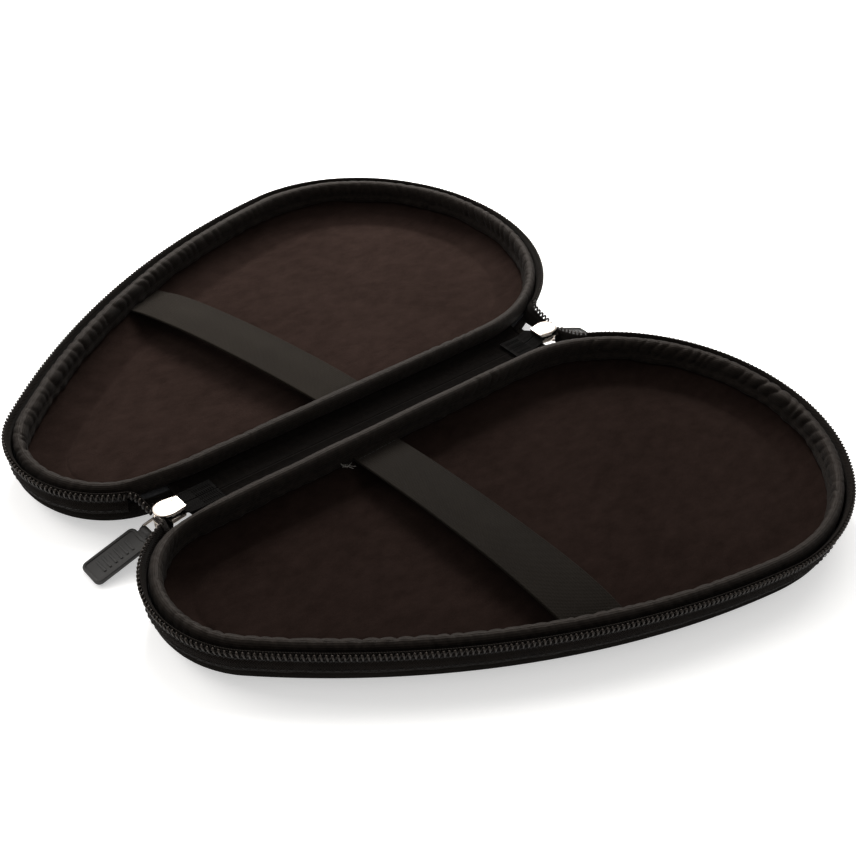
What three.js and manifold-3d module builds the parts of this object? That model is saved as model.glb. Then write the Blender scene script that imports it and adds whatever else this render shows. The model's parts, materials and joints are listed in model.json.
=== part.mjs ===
// Zip-round paddle case, lying open at 180 degrees on its two moulded backs.
// Millimetres, +Z up, +Y along the hinge from the narrow end to the wide end,
// base half on +X, lid half on -X. The origin is on the floor, in the middle of the case's footprint.
import * as THREE from 'three';
import { mergeVertices } from 'three/addons/utils/BufferGeometryUtils.js';
import Module from 'manifold-3d';

const wasm = await Module();
wasm.setup();

// ---- Driving dimensions --------------------------------------------------------------------

// Teardrop outline of one half, seen from above: straight hinge side, two round ends, bowed outer side.
const NARROW_RADIUS = 43;
const WIDE_RADIUS = 86;
const OUTER_BOW_RADIUS = 388;
const HINGE_SIDE_LENGTH = 182;

// Heights of one half as it lies on its back.
const RIM_HEIGHT = 24;             // plane in which the two halves meet
const FOLD_TO_CENTRE = 9;          // the two fold lines of the spine are this far either side of x = 0
const FOLD_HEIGHT = RIM_HEIGHT - FOLD_TO_CENTRE;
const WALL_TOP = FOLD_HEIGHT + 1;  // top edge of the moulded wall, under the rim binding
const GAP = 0.3;

// Moulded wall: the bottom corner is a quarter ellipse, each layer an offset of the next.
const CORNER_INSET = 19;
const CORNER_HEIGHT = 12.5;
const TAPE_THICKNESS = 0.8;
const COVER_THICKNESS = 0.9;
const CORE_THICKNESS = 4;
const LINING_THICKNESS = 0.8;
const COVER_INSET = TAPE_THICKNESS + GAP;
const CORE_INSET = COVER_INSET + COVER_THICKNESS + GAP;
const LINING_INSET = CORE_INSET + CORE_THICKNESS + GAP;

// Zip: tape standing round the outside of the rim, coil along its top edge.
const COIL_TOP = RIM_HEIGHT - GAP;
const COIL_BOTTOM = COIL_TOP - 4.3;
const COIL_THICKNESS = 1.6;
const TAPE_TOP = RIM_HEIGHT - 1.5;
const TAPE_BOTTOM = RIM_HEIGHT - 11;
const TAPE_LEAN = 1.4;

// Padded binding roll on the rim: a flattened oval, squarer than an ellipse.
const ROLL_OUTER = 2.9;
const ROLL_WIDTH = 6.7;
const ROLL_TOP = RIM_HEIGHT - GAP;
const ROLL_BOTTOM = WALL_TOP + GAP;
const ROLL_SQUARENESS = 0.8;       // power of the ellipse; 1 is a true ellipse
const ROLL_RECESS = 2.2;           // where the roll yields to the parked near slider

// Elastic straps: each leaves the hinge side under the roll, arches, and drops at its outer end.
const STRAP_WIDTH = 25;
const STRAP_THICKNESS = 1.2;
const STRAP_HINGE_X = FOLD_TO_CENTRE + ROLL_OUTER + ROLL_WIDTH - 0.8;
const STRAP_TOP = FOLD_HEIGHT + 0.6;
const STRAP_CROWN = 4.5;
const CROWN_START = 0.3;           // where along the strap its crown begins and ends
const CROWN_END = 0.85;
const BASE_STRAP = { hingeY: 88, slope: 0.037, length: 126, drop: 3 };
const LID_STRAP = { hingeY: 101, slope: -0.245, length: 120, drop: 1.5 };

// Spine between the halves, and the parked sliders on the closed stubs of chain at its two ends.
const SPINE_THICKNESS = 0.9;
const SPINE_LINING_THICKNESS = 0.6;
const SPINE_NEAR_Y = 6;
const SPINE_FAR_Y = 199;
const SLIDER_LENGTH = 13;
const SLIDER_WIDTH = 9.6;
const PLATE_THICKNESS = 1.1;
const PLATE_GAP = 3.6;
const TAIL_TAPER = 0.82;           // width of the slider's tail as a share of its full width
const BRIDGE_LENGTH = 5.6;
const BRIDGE_HEIGHT = 2.9;
const BRIDGE_BAR = 1;
const BRIDGE_WIDTH = 2;
const FLANGE_THICKNESS = 0.9;
const FLANGE_HEIGHT = 1;
const DIVIDER_WIDTH = 1.8;
const DIVIDER_LENGTH = 2.6;
const DIVIDER_SETBACK = 2.4;       // from the slider's mouth to the middle of its divider
const FUSE = 0.4;                  // overlap of parts joined in one casting
const CHAIN_WIDTH = 5;
const CHAIN_THICKNESS = 3;
const STUB_TAPE_WIDTH = 13;
const STUB_THICKNESS = 0.8;
const SEWN_LENGTH = 12;            // length of the stub sewn on the spine
const STUB_IN_SLIDER = 1.2;        // how far past the slider's middle the joined chain reaches
const NEAR_SLIDER = { y: -6, z: FOLD_HEIGHT + 1.2, outward: -1, tabSlope: 16 };
const FAR_SLIDER = { y: 211, z: FOLD_HEIGHT + 3, outward: 1, tabSlope: 20 };

// Metal pull link and rubber pull tab.
const LINK_LENGTH = 8.5;
const LINK_WIDTH = 9.4;
const LINK_BAR = 1.2;
const LINK_SLOPE = 15;
const TAB_LENGTH = 28;
const TAB_WIDTH = 13;
const TAB_THICKNESS = 2.4;
const TAB_CORNER = 2.5;
const TAB_NECK = 2.2;              // from the link's bar to the tab's broad end
const KNUCKLE_WIDTH = 6.2;
const KNUCKLE_RADIUS = 1.9;
const KNUCKLE_HOLE = 1.8;

// Number of stations along each stretch of the outline, and of steps in each curve.
const NARROW_STEPS = 12;
const OUTER_STEPS = 8;
const WIDE_STEPS = 14;
const HINGE_STEPS = 5;
const CORNER_STEPS = 4;
const ROLL_STEPS = 10;
const STRAP_STEPS = 12;
const ZIP_SKIPS = 2;               // stations left free of zip at each end, clear of the parked sliders
const WELD = 1e-4;

// ---- Materials -----------------------------------------------------------------------------

const material = (color, roughness, metalness = 0) =>
  new THREE.MeshStandardMaterial({ color, roughness, metalness });

const COVER_FABRIC = material(0x0c0b0b, 0.75);
const FOAM = material(0x17161a, 0.9);
const LINING_VELOUR = material(0x1d1513, 0.95);
const BINDING_SATIN = material(0x131110, 0.5);
const STRAP_ELASTIC = material(0x22211f, 0.8);
const ZIP_TAPE = material(0x0d0c0c, 0.8);
const ZIP_NYLON = material(0x1b1918, 0.35);
const NICKEL = material(0xd6d3cc, 0.2, 1);
const PULL_RUBBER = material(0x0f0f0f, 0.6);

// ---- Outline of one half -------------------------------------------------------------------

const narrowCentre = new THREE.Vector2(FOLD_TO_CENTRE + NARROW_RADIUS, 0);
const wideCentre = new THREE.Vector2(FOLD_TO_CENTRE + WIDE_RADIUS, HINGE_SIDE_LENGTH);

// Centre of the outer bow, which touches both end arcs from inside.
function outerBowCentre() {
  const toNarrow = OUTER_BOW_RADIUS - NARROW_RADIUS;
  const toWide = OUTER_BOW_RADIUS - WIDE_RADIUS;
  const span = wideCentre.clone().sub(narrowCentre);
  const distance = span.length();
  const along = (toNarrow ** 2 - toWide ** 2 + distance ** 2) / (2 * distance);
  const across = Math.sqrt(toNarrow ** 2 - along ** 2);
  const unit = span.normalize();
  const left = new THREE.Vector2(-unit.y, unit.x);
  return narrowCentre.clone().addScaledVector(unit, along).addScaledVector(left, across);
}

const bowCentre = outerBowCentre();
const narrowEndAngle = Math.atan2(narrowCentre.y - bowCentre.y, narrowCentre.x - bowCentre.x);
const wideStartAngle = Math.atan2(wideCentre.y - bowCentre.y, wideCentre.x - bowCentre.x);

function arcStations(centre, radius, start, end, steps) {
  return Array.from({ length: steps }, (_, i) => {
    const angle = start + ((end - start) * i) / steps;
    const nx = Math.cos(angle);
    const ny = Math.sin(angle);
    return { x: centre.x + radius * nx, y: centre.y + radius * ny, nx, ny };
  });
}

function hingeStations() {
  return Array.from({ length: HINGE_STEPS }, (_, i) => ({
    x: FOLD_TO_CENTRE,
    y: HINGE_SIDE_LENGTH * (1 - i / HINGE_STEPS),
    nx: -1,
    ny: 0,
  }));
}

// Stations run counter-clockwise from the near end of the hinge side, round the case and back.
const outline = [
  ...arcStations(narrowCentre, NARROW_RADIUS, -Math.PI, narrowEndAngle, NARROW_STEPS),
  ...arcStations(bowCentre, OUTER_BOW_RADIUS, narrowEndAngle, wideStartAngle, OUTER_STEPS),
  ...arcStations(wideCentre, WIDE_RADIUS, wideStartAngle, Math.PI, WIDE_STEPS),
  ...hingeStations(),
];

// The zip leaves the hinge side free.
const zipStations = outline.slice(ZIP_SKIPS, outline.length - HINGE_STEPS - ZIP_SKIPS + 1);

// A point of the half: inset from the outline, at a height.
const wallPoint = (station, inset, height) =>
  new THREE.Vector3(station.x - inset * station.nx, station.y - inset * station.ny, height);

// ---- Mesh building -------------------------------------------------------------------------

function meshFrom(points, triangles) {
  const geometry = new THREE.BufferGeometry();
  const coordinates = points.flatMap((p) => [p.x, p.y, p.z]);
  geometry.setAttribute('position', new THREE.Float32BufferAttribute(coordinates, 3));
  geometry.setIndex(triangles);
  return geometry;
}

// Closed ring: the section, given counter-clockwise looking along the stations, is swept round them all.
function closedRing(sections) {
  const size = sections[0].length;
  const count = sections.length;
  const triangles = [];
  for (let i = 0; i < count; i++) {
    for (let j = 0; j < size; j++) {
      const a = i * size + j;
      const b = i * size + ((j + 1) % size);
      const c = ((i + 1) % count) * size + j;
      const d = ((i + 1) % count) * size + ((j + 1) % size);
      triangles.push(a, c, b, b, c, d);
    }
  }
  return meshFrom(sections.flat(), triangles);
}

// Open band: as closedRing, but with a flat end at the first and at the last section.
function openBand(sections) {
  const size = sections[0].length;
  const last = (sections.length - 1) * size;
  const triangles = [];
  for (let i = 0; i < sections.length - 1; i++) {
    for (let j = 0; j < size; j++) {
      const a = i * size + j;
      const b = i * size + ((j + 1) % size);
      triangles.push(a, a + size, b, b, a + size, b + size);
    }
  }
  for (let j = 1; j < size - 1; j++) {
    triangles.push(0, j, j + 1, last, last + j + 1, last + j);
  }
  return meshFrom(sections.flat(), triangles);
}

// Dish: rings from the middle of the underside, over the rim, to the middle of the inside.
function dish(rings) {
  const count = rings[0].length;
  const points = rings.flat();
  const middle = (ring) => ring.reduce((sum, p) => sum.add(p), new THREE.Vector3()).divideScalar(count);
  const bottom = points.push(middle(rings[0])) - 1;
  const top = points.push(middle(rings[rings.length - 1])) - 1;
  const lastRing = (rings.length - 1) * count;
  const triangles = [];
  for (let i = 0; i < count; i++) {
    const next = (i + 1) % count;
    triangles.push(bottom, next, i, top, lastRing + i, lastRing + next);
    for (let r = 0; r < rings.length - 1; r++) {
      const a = r * count + i;
      const b = r * count + next;
      triangles.push(a, b, a + count, b, b + count, a + count);
    }
  }
  return meshFrom(points, triangles);
}

function bare(geometry) {
  const copy = geometry.clone();
  copy.deleteAttribute('normal');
  copy.deleteAttribute('uv');
  return copy;
}

function toSolid(geometry) {
  const merged = mergeVertices(bare(geometry), WELD);
  const vertProperties = new Float32Array(merged.attributes.position.array);
  const triVerts = new Uint32Array(merged.index.array);
  return new wasm.Manifold(new wasm.Mesh({ numProp: 3, vertProperties, triVerts }));
}

function fromSolid(solid) {
  const { vertProperties, triVerts } = solid.getMesh();
  const geometry = new THREE.BufferGeometry();
  geometry.setAttribute('position', new THREE.Float32BufferAttribute(vertProperties, 3));
  geometry.setIndex(Array.from(triVerts));
  return geometry;
}

const join = (geometries) => fromSolid(geometries.map(toSolid).reduce((a, b) => a.add(b)));
const cut = (geometry, tool) => fromSolid(toSolid(geometry).subtract(toSolid(tool)));

// Box given by its size and the middle of it.
const block = (sx, sy, sz, x = 0, y = 0, z = 0) => new THREE.BoxGeometry(sx, sy, sz).translate(x, y, z);

// A side view in (y, z), extruded across x and centred on x = 0.
function sideExtrusion(shape, width) {
  const turn = new THREE.Matrix4().makeBasis(
    new THREE.Vector3(0, 1, 0),
    new THREE.Vector3(0, 0, 1),
    new THREE.Vector3(1, 0, 0),
  );
  const geometry = new THREE.ExtrudeGeometry(shape, { depth: width, bevelEnabled: false });
  return geometry.translate(0, 0, -width / 2).applyMatrix4(turn);
}

// The lid's pieces are the base's, mirrored across the case's middle plane.
function mirrored(geometry) {
  const copy = geometry.clone().scale(-1, 1, 1);
  const index = copy.index.array;
  for (let i = 0; i < index.length; i += 3) {
    [index[i], index[i + 1]] = [index[i + 1], index[i]];
  }
  return copy;
}

// ---- Pieces of one half --------------------------------------------------------------------

// Rings of one face of a layer, from the flat bottom outwards and up to a height.
function layerRings(depth, top) {
  const rings = [];
  for (let k = CORNER_STEPS; k >= 0; k--) {
    const angle = ((Math.PI / 2) * k) / CORNER_STEPS;
    const inset = CORNER_INSET - (CORNER_INSET - depth) * Math.cos(angle);
    const height = CORNER_HEIGHT - (CORNER_HEIGHT - depth + COVER_INSET) * Math.sin(angle);
    rings.push(outline.map((station) => wallPoint(station, inset, height)));
  }
  rings.push(outline.map((station) => wallPoint(station, depth, top)));
  return rings;
}

const layer = (depth, thickness) =>
  dish([...layerRings(depth, WALL_TOP), ...layerRings(depth + thickness, WALL_TOP).reverse()]);

// How far the roll yields at a station: full beside the near slider, nothing off the hinge side.
function rollRecess(station) {
  const onHingeSide = Math.max(0, -station.nx) ** 4;
  const fromSlider = (station.y - NEAR_SLIDER.y) / SLIDER_LENGTH;
  return ROLL_RECESS * onHingeSide * Math.exp(-(fromSlider ** 2));
}

const squared = (value) => Math.sign(value) * Math.abs(value) ** ROLL_SQUARENESS;

function rollSection(station) {
  const outer = ROLL_OUTER + rollRecess(station);
  const inner = ROLL_OUTER + ROLL_WIDTH;
  const halfWidth = (inner - outer) / 2;
  const halfHeight = (ROLL_TOP - ROLL_BOTTOM) / 2;
  return Array.from({ length: ROLL_STEPS }, (_, k) => {
    const angle = (2 * Math.PI * (k + 0.5)) / ROLL_STEPS;
    const inset = outer + halfWidth - halfWidth * squared(Math.cos(angle));
    const height = ROLL_BOTTOM + halfHeight + halfHeight * squared(Math.sin(angle));
    return wallPoint(station, inset, height);
  });
}

const tapeSection = (station) => [
  wallPoint(station, 0, TAPE_BOTTOM),
  wallPoint(station, TAPE_THICKNESS, TAPE_BOTTOM),
  wallPoint(station, TAPE_THICKNESS, WALL_TOP),
  wallPoint(station, TAPE_LEAN + TAPE_THICKNESS, COIL_BOTTOM),
  wallPoint(station, TAPE_LEAN + TAPE_THICKNESS, TAPE_TOP),
  wallPoint(station, TAPE_LEAN, TAPE_TOP),
  wallPoint(station, TAPE_LEAN, COIL_BOTTOM),
].reverse();

function coilSection(station) {
  const inner = TAPE_LEAN - GAP;
  const outer = inner - COIL_THICKNESS;
  const bevel = COIL_THICKNESS / 3;
  return [
    wallPoint(station, outer, COIL_BOTTOM + bevel),
    wallPoint(station, outer, COIL_TOP - bevel),
    wallPoint(station, outer + bevel, COIL_TOP),
    wallPoint(station, inner, COIL_TOP),
    wallPoint(station, inner, COIL_BOTTOM),
    wallPoint(station, outer + bevel, COIL_BOTTOM),
  ];
}

// Elastic strap: a low arch across the half at a slope to the hinge's normal.
function strap({ hingeY, slope, length, drop }) {
  const crown = new THREE.CubicBezierCurve(
    new THREE.Vector2(0, STRAP_TOP),
    new THREE.Vector2(length * CROWN_START, STRAP_TOP + STRAP_CROWN),
    new THREE.Vector2(length * CROWN_END, STRAP_TOP + STRAP_CROWN),
    new THREE.Vector2(length, STRAP_TOP - drop),
  );
  const upper = crown.getPoints(STRAP_STEPS);
  const lower = upper.map((p) => new THREE.Vector2(p.x, p.y - STRAP_THICKNESS)).reverse();
  const geometry = new THREE.ExtrudeGeometry(new THREE.Shape([...upper, ...lower]), {
    depth: STRAP_WIDTH,
    bevelEnabled: false,
  });
  const angle = Math.atan(slope);
  const cornerRoom = (STRAP_WIDTH / 2) * Math.abs(Math.sin(angle));
  geometry.translate(0, 0, -STRAP_WIDTH / 2).rotateX(Math.PI / 2).rotateZ(angle);
  return geometry.translate(STRAP_HINGE_X + cornerRoom, hingeY, 0);
}

// ---- Spine and parked sliders --------------------------------------------------------------

const SPINE_LENGTH = SPINE_FAR_Y - SPINE_NEAR_Y;
const SPINE_MIDDLE_Y = (SPINE_FAR_Y + SPINE_NEAR_Y) / 2;
const SPINE_WIDTH = 2 * FOLD_TO_CENTRE - 4 * GAP;

const spineSheet = (thickness, bottom) =>
  block(SPINE_WIDTH, SPINE_LENGTH, thickness, 0, SPINE_MIDDLE_Y, bottom + thickness / 2);

// Slider centred on the chain at the origin, its mouth towards -Y and its pull bridge below.
const MOUTH = -SLIDER_LENGTH / 2;
const SLIDER_HALF = PLATE_GAP / 2 + PLATE_THICKNESS;
const BRIDGE_Y = MOUTH + BRIDGE_LENGTH / 2 + FUSE;
const BRIDGE_BOTTOM = -SLIDER_HALF - BRIDGE_HEIGHT;
const PIVOT_Z = -SLIDER_HALF - (BRIDGE_HEIGHT - BRIDGE_BAR) / 2;

function platePlan() {
  const half = SLIDER_WIDTH / 2;
  const tail = half * TAIL_TAPER;
  const plan = new THREE.Shape();
  plan.moveTo(-tail, -MOUTH);
  plan.lineTo(-half, 0);
  plan.quadraticCurveTo(-half, MOUTH, 0, MOUTH);
  plan.quadraticCurveTo(half, MOUTH, half, 0);
  plan.lineTo(tail, -MOUTH);
  return plan;
}

function plate(bottom) {
  const settings = { depth: PLATE_THICKNESS, bevelEnabled: false, curveSegments: 4 };
  return new THREE.ExtrudeGeometry(platePlan(), settings).translate(0, 0, bottom);
}

// One of the four edges that guide the chain, on either side of the upper or the lower plate.
function flange(side, level) {
  const x = side * (CHAIN_WIDTH / 2 + GAP + 0.65);
  const z = level * (PLATE_GAP - FLANGE_HEIGHT + FUSE) / 2;
  const length = SLIDER_LENGTH / 2;
  return block(FLANGE_THICKNESS, length, FLANGE_HEIGHT + FUSE, x, SLIDER_LENGTH / 5, z);
}

function slider() {
  const flanges = [-1, 1].flatMap((side) => [flange(side, -1), flange(side, 1)]);
  const divider = block(DIVIDER_WIDTH, DIVIDER_LENGTH, PLATE_GAP + FUSE, 0, MOUTH + DIVIDER_SETBACK, 0);
  const postHeight = BRIDGE_HEIGHT + FUSE / 2;
  const postReach = (BRIDGE_LENGTH - BRIDGE_BAR) / 2;
  const posts = [-postReach, postReach].map((reach) =>
    block(BRIDGE_WIDTH, BRIDGE_BAR, postHeight, 0, BRIDGE_Y + reach, BRIDGE_BOTTOM + postHeight / 2));
  const bar = block(BRIDGE_WIDTH, BRIDGE_LENGTH, BRIDGE_BAR, 0, BRIDGE_Y, BRIDGE_BOTTOM + BRIDGE_BAR / 2);
  return join([plate(PLATE_GAP / 2), plate(-SLIDER_HALF), divider, ...flanges, ...posts, bar]);
}

// Pull link: a flat loop. Its inner end bar lies at the origin and the loop runs towards -Y.
function pullLink() {
  const middle = (LINK_BAR - LINK_LENGTH) / 2;
  const frame = block(LINK_WIDTH, LINK_LENGTH, LINK_BAR, 0, middle, 0);
  const windowWidth = LINK_WIDTH - 2 * LINK_BAR;
  const windowLength = LINK_LENGTH - 2 * LINK_BAR;
  return cut(frame, block(windowWidth, windowLength, 2 * LINK_BAR, 0, middle, 0));
}

// Pull tab: its knuckle holds the link's outer end bar at the origin, the tab runs towards -Y.
function pullTab() {
  const half = TAB_WIDTH / 2;
  const inner = half - TAB_CORNER;
  const plan = new THREE.Shape();
  plan.moveTo(-KNUCKLE_WIDTH / 2, -TAB_NECK);
  plan.lineTo(-inner, -TAB_NECK);
  plan.quadraticCurveTo(-half, -TAB_NECK, -half, -TAB_NECK - TAB_CORNER);
  plan.lineTo(-half, TAB_CORNER - TAB_LENGTH);
  plan.quadraticCurveTo(-half, -TAB_LENGTH, -inner, -TAB_LENGTH);
  plan.lineTo(inner, -TAB_LENGTH);
  plan.quadraticCurveTo(half, -TAB_LENGTH, half, TAB_CORNER - TAB_LENGTH);
  plan.lineTo(half, -TAB_NECK - TAB_CORNER);
  plan.quadraticCurveTo(half, -TAB_NECK, inner, -TAB_NECK);
  const settings = { depth: TAB_THICKNESS, bevelEnabled: false, curveSegments: 3 };
  const body = new THREE.ExtrudeGeometry(plan, settings).translate(0, 0, -TAB_THICKNESS / 2);
  const knuckle = new THREE.CylinderGeometry(KNUCKLE_RADIUS, KNUCKLE_RADIUS, KNUCKLE_WIDTH, 12)
    .rotateZ(Math.PI / 2);
  const web = block(KNUCKLE_WIDTH, TAB_NECK, TAB_THICKNESS, 0, -TAB_NECK + GAP, 0);
  const hole = block(KNUCKLE_WIDTH + 1, KNUCKLE_HOLE, KNUCKLE_HOLE);
  return cut(join([body, knuckle, web]), hole);
}

// Closed stub of chain: tapes sewn on the spine's end, rising to the slider, with the joined coils.
function chainStub({ y, z, outward }, spineEnd) {
  const sewnZ = FOLD_HEIGHT + SPINE_LINING_THICKNESS + 2 * GAP;
  const inside = spineEnd - outward * SEWN_LENGTH;
  const inSlider = y + outward * STUB_IN_SLIDER;
  const rise = y - outward * (SLIDER_LENGTH / 2 + 2 * GAP);
  const centreLine = [
    new THREE.Vector2(inside, sewnZ),
    new THREE.Vector2(spineEnd, sewnZ),
    new THREE.Vector2(rise, z - STUB_THICKNESS / 2),
    new THREE.Vector2(inSlider, z - STUB_THICKNESS / 2),
  ];
  const upper = centreLine.map((p) => new THREE.Vector2(p.x, p.y + STUB_THICKNESS)).reverse();
  const profile = new THREE.Shape([...centreLine, ...upper]);
  const tapes = sideExtrusion(profile, STUB_TAPE_WIDTH);
  const coilLength = Math.abs(inSlider - rise) + FUSE;
  const coils = block(CHAIN_WIDTH, coilLength, CHAIN_THICKNESS, 0, (inSlider + rise) / 2, z);
  return join([tapes, coils]);
}

// ---- Assembly ------------------------------------------------------------------------------

const model = new THREE.Group();

function add(parent, name, geometry, look) {
  const mesh = new THREE.Mesh(geometry, look);
  mesh.name = name;
  parent.add(mesh);
  return mesh;
}

const halfPieces = {
  cover: [layer(COVER_INSET, COVER_THICKNESS), COVER_FABRIC],
  shell: [layer(CORE_INSET, CORE_THICKNESS), FOAM],
  lining: [layer(LINING_INSET, LINING_THICKNESS), LINING_VELOUR],
  binding: [closedRing(outline.map(rollSection)), BINDING_SATIN],
  zip_tape: [openBand(zipStations.map(tapeSection)), ZIP_TAPE],
  zip_coil: [openBand(zipStations.map(coilSection)), ZIP_NYLON],
};
for (const [piece, [geometry, look]] of Object.entries(halfPieces)) {
  add(model, `base_${piece}`, geometry, look);
  add(model, `lid_${piece}`, mirrored(geometry), look);
}

add(model, 'base_strap', strap(BASE_STRAP), STRAP_ELASTIC);
add(model, 'lid_strap', mirrored(mergeVertices(bare(strap(LID_STRAP)), WELD)), STRAP_ELASTIC);

add(model, 'spine_strip', spineSheet(SPINE_THICKNESS, FOLD_HEIGHT - GAP / 2 - SPINE_THICKNESS), COVER_FABRIC);
add(model, 'spine_lining', spineSheet(SPINE_LINING_THICKNESS, FOLD_HEIGHT + GAP / 2), LINING_VELOUR);

// The near end is built pulling towards -Y; the far end is the same slider turned half round.
for (const [end, place, spineEnd] of [['near', NEAR_SLIDER, SPINE_NEAR_Y], ['far', FAR_SLIDER, SPINE_FAR_Y]]) {
  add(model, `${end}_chain_end`, chainStub(place, spineEnd), ZIP_TAPE);

  const parked = new THREE.Group();
  parked.position.set(0, place.y, place.z);
  parked.rotation.z = place.outward > 0 ? Math.PI : 0;
  model.add(parked);
  add(parked, `${end}_slider`, slider(), NICKEL);

  const link = new THREE.Group();
  link.position.set(0, BRIDGE_Y, PIVOT_Z);
  link.rotation.x = THREE.MathUtils.degToRad(LINK_SLOPE);
  parked.add(link);
  add(link, `${end}_pull_link`, pullLink(), NICKEL);

  const tab = new THREE.Group();
  tab.position.set(0, LINK_BAR - LINK_LENGTH, 0);
  tab.rotation.x = THREE.MathUtils.degToRad(place.tabSlope - LINK_SLOPE);
  link.add(tab);
  add(tab, `${end}_pull_tab`, pullTab(), PULL_RUBBER);
}

// The footprint's middle is the origin.
model.position.y = -(HINGE_SIDE_LENGTH + WIDE_RADIUS - NARROW_RADIUS) / 2;

export default model;
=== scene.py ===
"""Looks of the zip-round paddle case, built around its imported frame.

Metres, +Z up, +Y along the hinge towards the wide end, base half on +X, lid half on -X.
"""
import json
import math

import bmesh
import bpy
import numpy as np
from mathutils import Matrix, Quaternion, Vector


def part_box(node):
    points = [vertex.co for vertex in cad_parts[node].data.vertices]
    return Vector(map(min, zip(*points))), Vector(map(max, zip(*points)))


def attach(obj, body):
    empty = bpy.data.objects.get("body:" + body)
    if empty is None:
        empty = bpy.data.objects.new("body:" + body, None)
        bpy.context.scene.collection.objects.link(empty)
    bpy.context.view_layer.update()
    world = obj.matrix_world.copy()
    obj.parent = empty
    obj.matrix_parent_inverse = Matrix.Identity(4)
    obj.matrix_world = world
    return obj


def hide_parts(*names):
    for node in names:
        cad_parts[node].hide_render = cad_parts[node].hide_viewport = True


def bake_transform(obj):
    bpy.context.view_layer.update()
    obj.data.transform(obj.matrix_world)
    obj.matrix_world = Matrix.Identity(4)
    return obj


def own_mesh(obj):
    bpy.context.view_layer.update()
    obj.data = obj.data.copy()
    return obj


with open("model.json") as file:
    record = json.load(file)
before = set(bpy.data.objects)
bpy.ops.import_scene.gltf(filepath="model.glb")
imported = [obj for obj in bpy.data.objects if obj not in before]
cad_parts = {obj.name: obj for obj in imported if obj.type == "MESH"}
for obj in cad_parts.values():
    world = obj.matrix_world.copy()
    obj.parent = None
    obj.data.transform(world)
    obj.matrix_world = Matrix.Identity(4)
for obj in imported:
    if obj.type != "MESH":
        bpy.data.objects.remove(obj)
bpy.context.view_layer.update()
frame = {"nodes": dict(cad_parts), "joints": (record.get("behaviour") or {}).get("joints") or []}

scene = bpy.context.scene
MM = 0.001
UV_NAME = "flat"
WELD = 1e-6

# ---- Dimensions ----

NARROW_RADIUS = 43 * MM
WIDE_RADIUS = 86 * MM
BOW_RADIUS = 388 * MM
HINGE_SIDE = 182 * MM
CORNER_INSET = 19 * MM
CORNER_HEIGHT = 12.5 * MM


def joint_at(name):
    return next(joint for joint in frame["joints"] if joint["name"] == name)["pos_m"]


FOLD_X, _, FOLD_Z = joint_at("spine_fold")
MEETING_Z = FOLD_Z + FOLD_X
NARROW_Y = -(HINGE_SIDE + WIDE_RADIUS - NARROW_RADIUS) / 2
WIDE_Y = NARROW_Y + HINGE_SIDE

COVER_LOW, COVER_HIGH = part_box("base_cover")
LINING_LOW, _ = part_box("base_lining")
ROLL_LOW, ROLL_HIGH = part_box("base_binding")
TAPE_LOW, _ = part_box("base_zip_tape")
WALL_TOP = COVER_HIGH.z
COVER_INSET = COVER_LOW.x - FOLD_X
LINING_INSET = LINING_LOW.x - FOLD_X

TOOTH_PITCH = 2.1 * MM
WIRE_RADIUS = 0.42 * MM
STRAP_WIDTH = 25 * MM
STRAP_THICKNESS = 1.2 * MM
SLIDER_LENGTH = 13 * MM
SLIDER_WIDTH = 9.6 * MM
PLATE = 1.1 * MM
PLATE_GAP = 3.6 * MM
BRIDGE_DROP = 2.9 * MM
BRIDGE_SPAN = 5.6 * MM
LINK_WIDTH = 9.4 * MM
LINK_LENGTH = 8.5 * MM
LINK_BAR = 1.2 * MM
TAB_LENGTH = 28 * MM
TAB_WIDTH = 13 * MM
TAB_THICKNESS = 2.4 * MM
TAB_NECK = 2.2 * MM
TAB_RIBS = 6

UP = (0.0, 0.0, 1.0)
SIDES = {"base": 1, "lid": -1}
ENDS = {"near": -1, "far": 1}

# ---- Camera ----


CAMERA_ANGLES = (44.66, 38.19, 5.81)  # azimuth, elevation and roll in degrees
CAMERA_TARGET = Vector((15.8, 8.4, 10)) * MM
CAMERA_DISTANCE = 587 * MM
CAMERA_LENS = 54.54
CAMERA_SENSOR = 36


def make_camera():
    azimuth, elevation, roll = map(math.radians, CAMERA_ANGLES)
    back = Vector((
        math.sin(azimuth) * math.cos(elevation),
        -math.cos(azimuth) * math.cos(elevation),
        math.sin(elevation),
    ))
    camera = bpy.data.objects.new("camera", bpy.data.cameras.new("camera"))
    camera.data.sensor_width = CAMERA_SENSOR
    camera.data.lens = CAMERA_LENS
    camera.data.clip_start = 10 * MM
    camera.data.clip_end = 20
    camera.location = CAMERA_TARGET + CAMERA_DISTANCE * back
    camera.rotation_mode = "QUATERNION"
    camera.rotation_quaternion = (-back).to_track_quat("-Z", "Y") @ Quaternion((0, 0, 1), roll)
    scene.collection.objects.link(camera)
    scene.camera = camera


make_camera()

# ---- Outline of one half ----

narrow_centre = np.array([FOLD_X + NARROW_RADIUS, NARROW_Y])
wide_centre = np.array([FOLD_X + WIDE_RADIUS, WIDE_Y])


def bow_centre():
    """Centre of the outer bow, which touches both end arcs from inside."""
    to_narrow, to_wide = BOW_RADIUS - NARROW_RADIUS, BOW_RADIUS - WIDE_RADIUS
    span = wide_centre - narrow_centre
    distance = np.hypot(*span)
    along = (to_narrow**2 - to_wide**2 + distance**2) / (2 * distance)
    across = math.sqrt(to_narrow**2 - along**2)
    unit = span / distance
    return narrow_centre + along * unit + across * np.array([-unit[1], unit[0]])


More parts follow.
